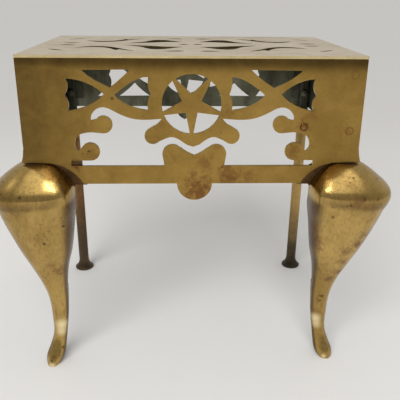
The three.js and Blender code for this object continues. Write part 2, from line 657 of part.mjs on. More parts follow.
// Rear leg of the right-hand corner: rod, flattened top and penny foot, forged in one
function makeRearLeg() {
  const roundTop = PLATE_TOP + REAR_ROUND_FROM;
  const axis = (height) => {
    const share = Math.min(height / roundTop, 1);
    const x = THREE.MathUtils.lerp(REAR_FOOT_X, REAR_STRAP_X, share);
    return [x, THREE.MathUtils.lerp(FRONT + REAR_FOOT_IN, REAR_STRAP_Y, share)];
  };
  const ring = (height, halfX, halfY, squareness) => {
    const [x, y] = axis(height);
    return Array.from({ length: ROD_SIDES }, (_, i) => {
      const angle = ((i + 0.5) / ROD_SIDES) * 2 * Math.PI;
      const [dx, dy] = section(1, squareness, angle);
      return new THREE.Vector3(x + halfX * dx, y + halfY * dy, height);
    });
  };
  const round = (height, radius) => ring(height, radius, radius, 2);
  const rings = [round(0, PENNY_RADIUS - PENNY_CHAMFER), round(PENNY_CHAMFER, PENNY_RADIUS)];
  rings.push(round(PENNY_EDGE, PENNY_RADIUS));
  const flareSteps = 6;
  for (let i = 1; i <= flareSteps; i += 1) {
    const share = i / flareSteps;
    const radius = ROD_RADIUS + (PENNY_RADIUS - PENNY_CHAMFER - ROD_RADIUS) * (1 - share) ** 2.2;
    rings.push(round(PENNY_EDGE + (PENNY_FLARE_HEIGHT - PENNY_EDGE) * share, radius));
  }
  rings.push(round(roundTop, ROD_RADIUS));
  const [strapTop, strapFoot] = REAR_STRAP_ENDS.map((level) => PLATE_TOP + level);
  const halfWayWidth = (ROD_RADIUS + STRAP_HALF_WIDTH) / 2;
  const halfWayThickness = (ROD_RADIUS + STRAP_HALF_THICKNESS) / 2;
  rings.push(ring((roundTop + strapFoot) / 2, halfWayWidth, halfWayThickness, 2.6));
  rings.push(ring(strapFoot, STRAP_HALF_WIDTH, STRAP_HALF_THICKNESS, 5));
  rings.push(ring(strapTop - 4, STRAP_HALF_WIDTH, STRAP_HALF_THICKNESS, 5));
  rings.push(ring(strapTop, STRAP_HALF_WIDTH - 2, STRAP_HALF_THICKNESS - 0.5, 4));
  const solid = RIVET_CORNER_LEVELS.reduce(
    (whole, level) => whole.subtract(
      drill(rearRivetX, REAR_STRAP_Y, PLATE_TOP + level, 'y', 6 * STRAP_HALF_THICKNESS, RIVET_HOLE_RADIUS),
    ),
    toSolid(loft(rings)),
  );
  return toGeometry(solid);
}

// Rivets. The outer end is filed flush with the sheet, and the inner end is a low dome.
function rivetGeometry(length) {
  const profile = points([
    [0, 0],
    [RIVET_RADIUS, 0],
    [RIVET_RADIUS, length],
    [RIVET_HEAD_RADIUS, length],
    [RIVET_HEAD_RADIUS * 0.8, length + RIVET_HEAD_HEIGHT * 0.65],
    [0, length + RIVET_HEAD_HEIGHT],
  ]);
  return new THREE.LatheGeometry(profile, RIVET_SIDES);
}

// A rivet starts on the outer face and points inwards along its direction
function addRivet(name, geometry, place, direction, material) {
  const rivet = addPiece(name, geometry, material);
  rivet.position.set(...place);
  rivet.quaternion.setFromUnitVectors(new THREE.Vector3(0, 1, 0), new THREE.Vector3(...direction));
}

function mendRivetGeometry() {
  const length = SHEET + 2 * GAP;
  const profile = points([
    [0, -MEND_HEAD_HEIGHT],
    [MEND_HEAD_RADIUS * 0.5, -MEND_HEAD_HEIGHT * 0.88],
    [MEND_HEAD_RADIUS * 0.88, -MEND_HEAD_HEIGHT * 0.5],
    [MEND_HEAD_RADIUS, 0],
    [MEND_SHANK_RADIUS, 0],
    [MEND_SHANK_RADIUS, length],
    [MEND_HEAD_RADIUS, length],
    [MEND_HEAD_RADIUS * 0.9, length + 0.8],
    [0, length + 1.2],
  ]);
  return new THREE.LatheGeometry(profile, RIVET_SIDES);
}

// The pieces
addPiece('top_plate', makePlate(), brass('plate brass', 0xb9af98, 0.34, 1));
addPiece('front_apron', makeApron(), brass('apron brass', 0x8a6a34, 0.38, 1));
addPiece('back_panel', makeBack(), brass('tarnished brass', 0x4c4a3c, 0.6, 0.8));

const sideRight = makeSide();
addPiece('side_panel_right', sideRight, brass('right side brass', 0x80653a, 0.42, 1));
addPiece('side_panel_left', mirrorGeometry(sideRight), brass('left side brass', 0x80653a, 0.42, 1));

const legBrass = (name) => brass(name, 0xa58b50, 0.3, 1);
addPiece('front_leg_right', makeCabriole('right'), legBrass('right cast brass'));
addPiece('front_leg_left', mirrorGeometry(makeCabriole('left')), legBrass('left cast brass'));

const rearLeg = makeRearLeg();
addPiece('rear_leg_right', rearLeg, brass('right rod brass', 0x6f5a38, 0.5, 0.9));
addPiece('rear_leg_left', mirrorGeometry(rearLeg), brass('left rod brass', 0x463826, 0.55, 0.9));

const cornerGrip = 2 * SHEET + 2 * GAP;
const rearGrip = 2 * SHEET + 2 * STRAP_HALF_THICKNESS + 3 * GAP;
const lugGrip = SHEET + LUG_THICKNESS + 2 * GAP;
const lugZ = PLATE_TOP + LUG_RIVET_LEVEL;
const rivetBrass = () => brass('rivet brass', 0x7c6136, 0.4, 1);

for (const [side, sign] of [['left', -1], ['right', 1]]) {
  RIVET_CORNER_LEVELS.forEach((level, i) => {
    const row = ['upper', 'lower'][i];
    const z = PLATE_TOP + level;
    const front = [sign * cornerRivetX, APRON_FACE, z];
    const rear = [sign * rearRivetX, BACK_FACE, z];
    addRivet(`apron_rivet_${side}_${row}`, rivetGeometry(cornerGrip), front, [0, 1, 0], rivetBrass());
    addRivet(`rear_leg_rivet_${side}_${row}`, rivetGeometry(rearGrip), rear, [0, -1, 0], rivetBrass());
  });
  const front = [sign * lugRivetX, APRON_FACE, lugZ];
  const beside = [sign * SIDE_FACE, FRONT + FRONT_LIP + LUG_RIVET_IN, lugZ];
  addRivet(`front_leg_rivet_${side}_apron`, rivetGeometry(lugGrip), front, [0, 1, 0], rivetBrass());
  addRivet(`front_leg_rivet_${side}_side`, rivetGeometry(lugGrip), beside, [-sign, 0, 0], rivetBrass());
  sidePlateRivets(sign).forEach(([x, y], i) => {
    const name = `plate_rivet_${side}_${i + 1}`;
    addRivet(name, rivetGeometry(cornerGrip), [x, y, PLATE_TOP], [0, 0, -1], rivetBrass());
  });
}

for (const [edge, places] of [['front', apronPlateRivets()], ['back', backPlateRivets()]]) {
  places.forEach(([x, y], i) => {
    const name = `plate_rivet_${edge}_${i + 1}`;
    addRivet(name, rivetGeometry(cornerGrip), [x, y, PLATE_TOP], [0, 0, -1], rivetBrass());
  });
}

const mendPlace = [MEND_RIVET[0], APRON_FACE - GAP, PLATE_TOP + MEND_RIVET[1]];
addRivet('scroll_mend_rivet', mendRivetGeometry(), mendPlace, [0, 1, 0], rivetBrass());

export default trivet;
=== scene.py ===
import math

import bmesh
import bpy
from mathutils import Matrix, Vector


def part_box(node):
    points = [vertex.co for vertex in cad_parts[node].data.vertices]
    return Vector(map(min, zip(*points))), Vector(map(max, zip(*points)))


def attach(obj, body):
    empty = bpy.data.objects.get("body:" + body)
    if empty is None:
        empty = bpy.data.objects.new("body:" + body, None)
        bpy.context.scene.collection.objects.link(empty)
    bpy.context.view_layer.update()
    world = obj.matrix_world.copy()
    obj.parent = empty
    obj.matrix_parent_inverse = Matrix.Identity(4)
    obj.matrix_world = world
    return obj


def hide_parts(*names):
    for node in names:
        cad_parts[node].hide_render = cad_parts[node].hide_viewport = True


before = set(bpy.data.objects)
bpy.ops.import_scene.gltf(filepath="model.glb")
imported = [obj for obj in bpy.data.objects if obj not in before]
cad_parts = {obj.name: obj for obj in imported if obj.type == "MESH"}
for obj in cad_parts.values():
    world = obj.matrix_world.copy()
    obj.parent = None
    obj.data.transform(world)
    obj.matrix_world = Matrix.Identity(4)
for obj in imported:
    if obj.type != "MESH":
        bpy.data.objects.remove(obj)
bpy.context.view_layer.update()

# The trivet stands on a seamless pale table, in soft daylight from the front and the left.
# The camera is a little above the plate and looks down at the middle of the apron.
MM = 0.001
plate_low, plate_high = (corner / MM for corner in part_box("top_plate"))
FRONT, TOP = plate_low.y, plate_high.z
YAW, PITCH, ROLL = 0.04202, 0.36336, 0.00969
ahead = Vector((math.sin(YAW) * math.cos(PITCH), math.cos(YAW) * math.cos(PITCH), -math.sin(PITCH)))
level = Vector((math.cos(YAW), -math.sin(YAW), 0))
upward = Vector((math.sin(YAW) * math.sin(PITCH), math.cos(YAW) * math.sin(PITCH), math.cos(PITCH)))
across = math.cos(ROLL) * level + math.sin(ROLL) * upward
above = math.cos(ROLL) * upward - math.sin(ROLL) * level
lens = bpy.data.cameras.new("camera")
lens.sensor_width = 36
lens.lens = 49.729
lens.clip_start = 0.01
lens.clip_end = 100
camera = bpy.data.objects.new("camera", lens)
eye = Vector((-13.584, FRONT - 483.015, 365.98)) * MM
camera.matrix_world = Matrix.Translation(eye) @ Matrix((across, above, -ahead)).transposed().to_4x4()
bpy.context.scene.collection.objects.link(camera)
bpy.context.scene.camera = camera
bpy.context.scene.view_settings.view_transform = "Standard"


class Wire:
    """A shader socket that takes part in sums."""

    def __init__(self, finish, socket):
        self.finish = finish
        self.socket = socket

    def maths(self, operation, *terms):
        return self.finish.node("Math", {"operation": operation}, dict(enumerate(terms)))

    def __add__(self, other):
        return self.maths("ADD", self, other)

    def __sub__(self, other):
        return self.maths("SUBTRACT", self, other)

    def __rsub__(self, other):
        return self.maths("SUBTRACT", other, self)

    def __mul__(self, other):
        return self.maths("MULTIPLY", self, other)

    __radd__ = __add__
    __rmul__ = __mul__

    def larger(self, other):
        return self.maths("MAXIMUM", self, other)

    def rise(self, low, high, to=1.0):
        """Climbs softly from 0 to that value as the socket goes from low to high."""
        sockets = {"Value": self, "From Min": low, "From Max": high, "To Max": to}
        return self.finish.node("MapRange", {"interpolation_type": "SMOOTHSTEP"}, sockets)


class Finish:
    """A surface finish, built up node by node."""

    def __init__(self, name):
        self.material = bpy.data.materials.new(name)
        self.material.use_nodes = True
        self.tree = self.material.node_tree
        self.shader = self.tree.nodes["Principled BSDF"]
        self.place = self.node("TexCoord", {}, {}, "Object")

    def node(self, kind, settings, sockets, output=0):
        """Adds a shader node with its settings and sockets, and gives one of its outputs."""
        made = self.tree.nodes.new("ShaderNode" + kind)
        for key, value in settings.items():
            setattr(made, key, value)
        for key, value in sockets.items():
            self.join(made.inputs[key], value)
        return Wire(self, made.outputs[output])

    def join(self, socket, value):
        """Wires a value to a socket, or sets it there."""
        if isinstance(value, Wire):
            self.tree.links.new(value.socket, socket)
        else:
            socket.default_value = value

    def noise(self, scale, detail=4.0, roughness=0.55, distortion=0.0, shift=0.0, stretch=(1, 1, 1)):
        """Cloudy change over the surface. Shift moves it, and a small stretch draws it out."""
        sockets = {"Vector": self.place, "Location": (shift, 1.7 * shift, 2.3 * shift), "Scale": stretch}
        where = self.node("Mapping", {}, sockets)
        sockets = {"Vector": where, "Scale": scale, "Detail": detail, "Roughness": roughness}
        return self.node("TexNoise", {}, {**sockets, "Distortion": distortion})

    def blend(self, share, first, second):
        """The first colour where the share is 0, and the second where it is 1."""
        colours = [c if isinstance(c, Wire) else (*c, 1) for c in (first, second)]
        return self.node("Mix", {"data_type": "RGBA"}, {0: share, 6: colours[0], 7: colours[1]}, 2)

    def near(self, x, y, z, reach, core=0.3, ragged=0.0):
        """1 round a point given in millimetres, fading to 0 at that reach."""
        sockets = {0: self.place, 1: (x * MM, y * MM, z * MM)}
        away = self.node("VectorMath", {"operation": "DISTANCE"}, sockets, "Value")
        return 1 - (away + ragged * reach * MM).rise(core * reach * MM, reach * MM)

    def height(self):
        """Height above the floor, in millimetres."""
        return self.node("SeparateXYZ", {}, {0: self.place}, "Z") * (1 / MM)

    def attribute(self, name):
        return self.node("Attribute", {"attribute_name": name}, {}, "Fac")

    def bump(self, height, depth, under=None):
        """A fine relief, that many metres deep, on top of another one."""
        sockets = {"Strength": 1.0, "Distance": depth, "Height": height}
        if under is not None:
            sockets["Normal"] = under
        return self.node("Bump", {}, sockets)

    def finish(self, colour, roughness, metal, normal):
        values = {"Base Color": colour, "Roughness": roughness, "Metallic": metal, "Normal": normal}
        for name, value in values.items():
            self.join(self.shader.inputs[name], value)
        return self.material


paper = Finish("table_paper")
tone = paper.noise(3, 2)
grain = paper.noise(260, 3)
# The paper is painted darker from the trivet backwards: a painted falloff of the light.
far = paper.node("SeparateXYZ", {}, {0: paper.place}, "Y")
paper.finish(
    paper.blend(
        far.rise(0, 1.2),
        paper.blend(tone.rise(0.3, 0.7), (0.82, 0.817, 0.81), (0.84, 0.837, 0.83)),
        (0.72, 0.712, 0.7),
    ),
    0.85 + 0.06 * grain,
    0.0,
    paper.bump(grain, 0.0001),
)
table_mesh = bmesh.new()
bmesh.ops.create_circle(table_mesh, cap_ends=True, segments=96, radius=70)
table_data = bpy.data.meshes.new("table")
table_mesh.to_mesh(table_data)
table = bpy.data.objects.new("table", table_data)
bpy.context.scene.collection.objects.link(table)
table_data.materials.append(paper.material)


def soft_light(name, place, target, width, height, power):
    """A soft oblong lamp, hung at a place and turned to a target."""
    lamp = bpy.data.lights.new(name, "AREA")
    lamp.shape = "RECTANGLE"
    lamp.size = width
    lamp.size_y = height
    lamp.energy = power
    lamp.color = (1, 0.985, 0.955)
    holder = bpy.data.objects.new(name, lamp)
    holder.location = place
    holder.rotation_euler = (Vector(target) - Vector(place)).to_track_quat("-Z", "Y").to_euler()
    bpy.context.scene.collection.objects.link(holder)
    return holder


# These four lamps are only seen in the polished metal. The middle one lights the caps of both knees.
for lamp in (
    soft_light(
        "middle_lamp", (-0.055, -0.16, 0.53), (-0.055, -0.15, 0), width=0.16, height=0.03, power=0.27,
    ),
    soft_light("left_lamp", (-0.74, 0.05, 0.9), (0.05, -0.1, 0.2), width=0.24, height=0.18, power=0.12),
    soft_light("right_lamp", (0.5, -0.1, 1.2), (-0.05, -0.1, 0.2), width=0.3, height=0.24, power=0.15),
    soft_light("ceiling", (0, -0.25, 1.5), (0, -0.15, 0), width=1.4, height=1.0, power=3.6),
):
    lamp.visible_diffuse = False
    lamp.visible_camera = False
fill = soft_light("fill", (-0.3, -1.35, 1.15), (0, -0.4, 0), width=1.4, height=0.9, power=9)
fill.visible_glossy = False
daylight = bpy.data.lights.new("daylight", "SUN")
daylight.energy = 1.7
daylight.angle = 0.8
daylight.color = (1, 0.992, 0.975)
sun = bpy.data.objects.new("daylight", daylight)
sun.rotation_euler = (0.87, -0.42, 0)
sun.visible_glossy = False
bpy.context.scene.collection.objects.link(sun)
world = bpy.data.worlds.new("studio")
bpy.context.scene.world = world
world.use_nodes = True

# The light from all round is a little brighter behind the trivet than in front of it.
sky = world.node_tree
direction = sky.nodes.new("ShaderNodeTexCoord").outputs["Generated"]
axes = sky.nodes.new("ShaderNodeSeparateXYZ")
sky.links.new(direction, axes.inputs[0])
behind = sky.nodes.new("ShaderNodeMapRange")
behind.interpolation_type = "SMOOTHSTEP"
behind.inputs["From Min"].default_value = -0.6
behind.inputs["From Max"].default_value = 0.75
sky.links.new(axes.outputs["Y"], behind.inputs["Value"])
shade = sky.nodes.new("ShaderNodeMix")
shade.data_type = "RGBA"
shade.inputs[6].default_value = (0.39, 0.383, 0.37, 1)
shade.inputs[7].default_value = (0.56, 0.552, 0.537, 1)
sky.links.new(behind.outputs["Result"], shade.inputs[0])
sky.links.new(shade.outputs[2], sky.nodes["Background"].inputs["Color"])


# The plate is pierced sheet brass, sawn and filed from one piece and rubbed by years of kettles.
# It is paler than the frieze. Its filed edges are clean metal, and are painted paler still as a painted
# highlight.
# The colour of painted highlights: bright spots on the ankles and toe tips that stand in for glints.
PAINTED_HIGHLIGHT = (1.0, 0.83, 0.48)
PIT_DIRT = (0.06, 0.032, 0.015)


def brass(name, clean, tarnish, brown, rough, browning=0.2, pitting=0.0, shift=0.0, run=(1, 1, 1), **marks):
    """Old brass: clean metal under tarnish, brown stains, specks and small pits. Marks are lists of
    [x, y, z, reach, strength] in millimetres: spots are brown, holes are pits, painted highlights are
    bright spots that stand in for glints, and rings are the seams of filed rivets. The film gives the
    share and the colour of a darker layer: dirt, and on the legs also painted shade and reflection."""
    old = Finish(name)
    cloud = old.noise(13, 5, 0.6, 0.4, shift, run)
    blotch = old.noise(58, 5, 0.62, 0.3, shift + 3, run)
    fine = old.noise(420, 4, 0.6, 0.0, shift + 5, run)
    dulled = (0.62 * cloud + 0.38 * blotch).rise(0.34, 0.68)
    mottle = old.noise(210, 5, 0.72, 0.5, shift + 7)
    blurred = (mottle - 0.5) * 3
    frayed = (0.5 * mottle + 0.5 * old.noise(640, 3, 0.7, 0.0, shift + 2) - 0.5) * 4
    stain = old.noise(30, 6, 0.7, 1.1, shift + 9).rise(0.56, 0.74, browning) * mottle.rise(0.3, 0.6)
    for x, y, z, reach, strength in marks.get("spots", ()):
        stain = stain.larger(old.near(x, y, z, reach, 0.1, blurred) * strength * blotch.rise(0.15, 0.6))
    cells = old.node("TexVoronoi", {}, {"Vector": old.place, "Scale": 170.0})
    pit = (1 - cells.rise(0.06, 0.2)) * blotch.rise(0.5, 0.62, pitting)
    for x, y, z, reach, strength in marks.get("holes", ()):
        pit = pit.larger(old.near(x, y, z, 1.25 * reach, 0.1, frayed) * strength)
    colour = old.blend(dulled, clean, tarnish)
    colour = old.blend(fine.rise(0.42, 0.8, marks.get("specks", 0.2)), colour, brown)
    # The film is dirt, and on the legs also painted shade and a painted dark reflection.
    if "dull" in marks:
        share, darker_colour = marks["dull"]
        colour = old.blend(share(old, blotch), colour, darker_colour)
    colour = old.blend(stain, colour, brown)
    # Painted highlights: bright spots that stand in for glints of the lamps.
    for x, y, z, reach, strength in marks.get("painted_highlights", ()):
        colour = old.blend(old.near(x, y, z, reach, 0.0) * strength, colour, PAINTED_HIGHLIGHT)
    for x, y, z, radius, strength in marks.get("rings", ()):
        ring = old.near(x, y, z, 1.3 * radius, 0.75) - old.near(x, y, z, 0.95 * radius, 0.75)
        colour = old.blend(ring * strength, colour, brown)
    colour = old.blend(0.85 * pit, colour, PIT_DIRT)
    waves = old.bump(old.noise(22, 2, 0.5, 0.0, shift + 12), 0.0004)
    grit = old.bump(0.5 * fine + 0.5 * old.noise(1500, 2, 0.5, 0.0, shift) - 0.8 * pit, 0.00003, waves)
    roughness = rough + 0.12 * dulled + 0.16 * stain + 0.1 * (fine - 0.5)
    return old.finish(colour, roughness, 1.0 - 0.2 * stain, grit)


# A sheet's metals, in their order: its show side, its filed edges, its inner side, its openings.
OUTSIDE, CUT, INSIDE, OPENING = range(4)


def eased(node, name, edge, metals, inside):
    """A merged copy of a packed sheet, with its filed edges eased by so many millimetres.
    Its inner side looks along the inside direction."""
    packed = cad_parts[node].data.copy()
    packed.attributes.remove(packed.attributes["custom_normal"])
    shell = bmesh.new()
    shell.from_mesh(packed)
    bpy.data.meshes.remove(packed)
    bmesh.ops.remove_doubles(shell, verts=shell.verts, dist=0.02 * MM)
    bmesh.ops.dissolve_limit(
        shell, angle_limit=math.radians(0.5), use_dissolve_boundaries=False,
        verts=shell.verts, edges=shell.edges,
    )
    sharp = [e for e in shell.edges if e.is_manifold and e.calc_face_angle(0) > math.radians(40)]
    bmesh.ops.bevel(
        shell, geom=sharp, offset=edge * MM, offset_type="OFFSET", segments=2, profile=0.5,
        affect="EDGES", clamp_overlap=True, material=-1,
    )
    for face in shell.faces:
        facing = face.normal.dot(inside)
        face.smooth = max(map(abs, face.normal)) < 0.9999
        face.material_index = INSIDE if facing > 0.99 else CUT if facing > -0.99 else OUTSIDE
    return placed(shell, name, metals, crisp=25)


def placed(shell, name, metals, crisp):
    """Turns a finished mesh into a piece of the trivet. Edges over that many degrees stay crisp."""
    data = bpy.data.meshes.new(name)
    shell.to_mesh(data)
    rounded = [face.smooth for face in shell.faces]
    shell.free()
    for metal in metals:
        data.materials.append(metal)
    data.set_sharp_from_angle(angle=math.radians(crisp))
    data.polygons.foreach_set("use_smooth", rounded)
    piece = bpy.data.objects.new(name, data)
    bpy.context.scene.collection.objects.link(piece)
    return piece


plate_brass = brass(
    "plate_brass", (0.86, 0.74, 0.53), (0.66, 0.545, 0.37), (0.30, 0.19, 0.09), rough=0.3,
    browning=0.45, shift=2,
)
# The edges' pale colour is partly clean filed metal and partly a painted highlight.
plate_edge_wear_and_sheen = brass(
    "plate_edge_wear_and_sheen_brass", (0.88, 0.73, 0.41), (0.70, 0.55, 0.28), (0.38, 0.24, 0.10), rough=0.26,
)
under_plate = brass(
    "under_plate_brass", (0.22, 0.18, 0.11), (0.10, 0.085, 0.055), (0.05, 0.04, 0.025), rough=0.5,
)
# The walls of the plate's openings are painted dark: painted shade inside the openings.
opening_shade_brass = brass("opening_shade_brass", (0.17, 0.125, 0.06), (0.09, 0.068, 0.035), (0.04, 0.025, 0.014), rough=0.5)
PLATE_EDGE, RIM = 0.35, 2
plate_metals = [plate_brass, plate_edge_wear_and_sheen, under_plate, opening_shade_brass]
plate = eased("top_plate", "plate", PLATE_EDGE, plate_metals, Vector((0, 0, -1)))
# The walls inside the openings take the dark metal of painted shade.
for face in plate.data.polygons:
    x, y = face.center.x / MM, face.center.y / MM
    within = plate_low.x + RIM < x < plate_high.x - RIM and plate_low.y + RIM < y < plate_high.y - RIM
    if within and abs(face.normal.z) < 0.5:
        face.material_index = OPENING
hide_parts("top_plate")
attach(plate, "root")

# The apron is one pierced sheet: fishes, a star in a ring, scrolls, and a strap with a heart.
# Its front is polished, but darker at the left end and along the top, and brown on the drop of the
# heart. Its back, like all of the inside, is never polished: dark and grey-green.
APRON_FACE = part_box("front_apron")[0].y / MM
SHEET_EDGE = 0.3
RIVET_SEAM = 3.28
apron_marks = {
    "spots": [
        [6, APRON_FACE, TOP - 121, 21, 0.9], [10, APRON_FACE, TOP - 96, 13, 0.5],
        [-88, APRON_FACE, TOP - 88, 9, 0.4], [92, APRON_FACE, TOP - 85, 9, 0.5],
        [34, APRON_FACE, TOP - 107, 16, 0.7], [52, APRON_FACE, TOP - 110, 10, 0.5],
        [-106, APRON_FACE, TOP - 97, 7, 0.9], [100, APRON_FACE, TOP - 62, 8, 0.7],
        [106, APRON_FACE, TOP - 52, 8, 0.4], [24, APRON_FACE, TOP - 78, 8, 0.4],
        [140, APRON_FACE, TOP - 66, 5, 0.5], [-30, APRON_FACE, TOP - 60, 9, 0.3],
    ],
    "holes": [
        [-93.8, APRON_FACE, TOP - 84.5, 1.4, 1], [-99.8, APRON_FACE, TOP - 86.8, 0.9, 0.8],
        [-70.9, APRON_FACE, TOP - 36.6, 1.9, 1], [-44.4, APRON_FACE, TOP - 52.4, 1.1, 0.8],
        [48.4, APRON_FACE, TOP - 110.4, 0.9, 0.8], [27, APRON_FACE, TOP - 99.5, 1.4, 0.9],
        [-95, APRON_FACE, TOP - 87.5, 0.7, 0.8], [25, APRON_FACE, TOP - 68, 0.8, 0.6],
    ],
    "rings": [],
}
for name, strength in (
    ("apron_rivet_right_lower", 0.75), ("apron_rivet_right_upper", 0.4), ("apron_rivet_left_upper", 0.2),
    ("apron_rivet_left_lower", 0.2), ("scroll_mend_rivet", 0.9),
):
    low, high = (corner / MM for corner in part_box(name))
    place = [(low.x + high.x) / 2, APRON_FACE, (low.z + high.z) / 2]
    apron_marks["rings"].append([*place, RIVET_SEAM, strength])


def apron_darkening(old, blotch):
    """Darker along the top, just under the plate, and towards the left end."""
    x = old.node("SeparateXYZ", {}, {0: old.place}, "X") * (1 / MM)
    top = old.height().rise(TOP - 17, TOP - 5) * (0.7 + 0.45 * blotch)
    return top.larger((1 - x.rise(-150, -70)) * (0.45 + 0.45 * blotch))


apron_brass = brass(
    "apron_brass", (0.41, 0.26, 0.068), (0.305, 0.188, 0.047), (0.18, 0.068, 0.021), rough=0.34,
    browning=0.6, shift=1, dull=(apron_darkening, (0.095, 0.058, 0.017)), **apron_marks,
)
# Pale edges and opening walls: clean filed metal, and partly a painted highlight.
apron_edge_wear_and_sheen = brass(
    "apron_edge_wear_and_sheen_brass", (0.80, 0.66, 0.36), (0.56, 0.42, 0.19), (0.26, 0.15, 0.06), rough=0.34, shift=1,
)
inner_brass = brass(
    "inner_brass", (0.17, 0.17, 0.125), (0.075, 0.078, 0.055), (0.04, 0.032, 0.02), rough=0.5,
    browning=0.4, shift=5,
)
apron_metals = [apron_brass, apron_edge_wear_and_sheen, inner_brass]
apron = eased("front_apron", "apron", SHEET_EDGE, apron_metals, Vector((0, 1, 0)))
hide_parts("front_apron")
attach(apron, "root")

# The back is a plainer fret of the same sheet, riveted between the sides. Its inside, which shows
# through the apron, is dark and grey-green, with paler smears that run down.
dark_brass = brass(
    "tarnished_brass", (0.34, 0.34, 0.24), (0.078, 0.08, 0.053), (0.045, 0.04, 0.026), rough=0.42,
    browning=0.5, shift=4, run=(1, 1, 0.35),
)
dark_edge = brass(
    "dark_edge_brass", (0.30, 0.25, 0.15), (0.14, 0.12, 0.08), (0.05, 0.04, 0.03), rough=0.5, shift=4,
)
side_brass = brass(
    "side_brass", (0.42, 0.29, 0.11), (0.30, 0.21, 0.08), (0.16, 0.09, 0.035), rough=0.4,
    browning=0.4, shift=6,
)
back_metals = [side_brass, dark_edge, dark_brass]
back = eased("back_panel", "back", SHEET_EDGE, back_metals, Vector((0, -1, 0)))
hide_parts("back_panel")
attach(back, "root")

# The two sides are plain sheets with turned edges, riveted in the four corners. They are duller
# than the apron outside, and dark inside.
for hand, inwards in (("left", 1), ("right", -1)):
    metals = [side_brass, inner_brass, inner_brass]
    side = eased("side_panel_" + hand, "side_" + hand, SHEET_EDGE, metals, Vector((inwards, 0, 0)))
    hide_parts("side_panel_" + hand)
    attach(side, "root")

# The front legs are cast in one with the lugs that rivet them to the frieze. They are hollow
# behind the knee, as cast legs are, and filed and polished only where they show. Their lugs are
# painted dark as shade, their flanks carry a painted dark reflection, and their crease painted shade.

# Each row is [height, distance in, half width, squareness].
CABRIOLE = [
    [0, 9, 7, 2], [2.5, 9.6, 8.2, 2], [8, 11.1, 9.3, 2], [17, 13.6, 8.1, 2], [30, 16.3, 6.9, 2],
    [50, 17.6, 8.1, 2.1], [72, 17.6, 9.6, 2.3], [90, 16, 12.2, 2.5], [110, 13.7, 17.2, 2.7],
    [130, 12, 23.8, 2.8], [160, 8.8, 31.6, 2.7], [177, 7, 36.2, 2.5], [186, 5.3, 37.9, 2.45],
    [196, 5.6, 37.1, 2.4], [205.4, 7.7, 29.5, 2.3], [212.4, 9.2, 21.5, 2.1], [215.4, 9.8, 17, 2],
    [217, 9.8, 12.5, 2],
]
KNEE_TOP = CABRIOLE[-1][0]
CORNER = Vector((plate_high.x, FRONT))
LEAN = {"left": 1.1, "right": -1.1}
TOE_HEIGHT, TOE_REACH = 26, {"left": 6, "right": 1.5}
CREASE_HEIGHT, CREASE_RISE, CREASE = 184, 5, {"left": 1.6, "right": 0.8}
# The smooth skin keeps a hair inside the solid's box.
WITHIN_CASTING = 0.996


def smooth(low, high, value):
    """Climbs softly from 0 to 1 as the value goes from low to high."""
    share = min(max((value - low) / (high - low), 0), 1)
    return share * share * (3 - 2 * share)


def lean(hand, height):
    """The two castings aren't quite alike: this one stands further out by so much."""
    return LEAN[hand] * (1 - smooth(80, 160, height))


def along(sections, share):
    """The section at a share of their whole length, on a smooth curve through them all."""
    rows = [Vector(row) for row in sections]
    steps = [0.0]
    for before, after in zip(rows, rows[1:]):
        steps.append(steps[-1] + (after - before).length)
    target = share * steps[-1]
    i = max(1, next(k for k, step in enumerate(steps) if step >= target - 1e-9))
    span = steps[i] - steps[i - 1]
    t = (target - steps[i - 1]) / span

    def slope(k):
        low, high = max(k - 1, 0), min(k + 1, len(rows) - 1)
        return (rows[high] - rows[low]) * (span / (steps[high] - steps[low]))

    a, b = rows[i - 1], rows[i]
    return (
        a * (2 * t**3 - 3 * t**2 + 1) + slope(i - 1) * (t**3 - 2 * t**2 + t)
        + b * (3 * t**2 - 2 * t**3) + slope(i) * (t**3 - t**2)
    )


def rounded_square(half, squareness, angle):
    """A point on a rounded square: a squareness of 2 gives a circle, and more a squarer ring."""
    c, s = math.cos(angle), math.sin(angle)
    power = 2 / squareness
    return Vector((math.copysign(abs(c) ** power, c), math.copysign(abs(s) ** power, s))) * half


def lofted(rings):
    """A closed solid through rings of points, extruded from each ring to the next."""
    shell = bmesh.new()
    ring = bmesh.ops.create_circle(shell, segments=len(rings[0]), radius=1)["verts"]
    for v, place in zip(ring, rings[0]):
        v.co = place * MM
    for places in rings[1:]:
        edges = [e for v in ring for e in v.link_edges if e.is_boundary or e.is_wire]
        grown = bmesh.ops.extrude_edge_only(shell, edges=list(dict.fromkeys(edges)))["geom"]
        fresh = {v for v in grown if isinstance(v, bmesh.types.BMVert)}
        ring = [next(e.other_vert(v) for e in v.link_edges if e.other_vert(v) in fresh) for v in ring]
        for v, place in zip(ring, places):
            v.co = place * MM
    bmesh.ops.holes_fill(shell, edges=[e for e in shell.edges if e.is_boundary], sides=0)
    bmesh.ops.recalc_face_normals(shell, faces=shell.faces)
    return shell


def crease(height, turned, depth, above=4, below=20):
    """Depth of the soft crease below the cap of the knee, sharp above and fading below."""
    rise = height - CREASE_HEIGHT - CREASE_RISE * (1 - turned)
    fade = above if rise > 0 else below
    return depth * smooth(-0.3, 0.3, turned) * math.exp(-((rise / fade) ** 2))


def leg_rings(hand, count, sides):
    """The outside of a leg, ring by ring from the toe to the top of the knee."""
    rings = []
    for i in range(count + 1):
        height, inward, half, squareness = along(CABRIOLE, i / count)
        height = min(max(height, 0), KNEE_TOP)
        inward -= lean(hand, height)
        centre = CORNER + Vector((-inward, inward))
        toe = TOE_REACH[hand] * max(0, 1 - height / TOE_HEIGHT) ** 2
        # The inner front quarter of the knee is a little squarer than the rest.
        fuller = 1.1 * smooth(160, 184, height) * (1 - smooth(206, 216, height))
        ring = []
        for k in range(sides):
            angle = 2 * math.pi * k / sides
            narrow = crease(height, math.cos(angle + math.pi / 4), CREASE[hand])
            flat = fuller if math.cos(angle) < 0 and math.sin(angle) < 0 else 0
            edge = rounded_square(half - narrow, squareness + flat, angle)
            edge.y += toe * min(0, edge.y / half)
            ring.append(Vector((*(centre + WITHIN_CASTING * edge), height)))
        rings.append(ring)
    return rings


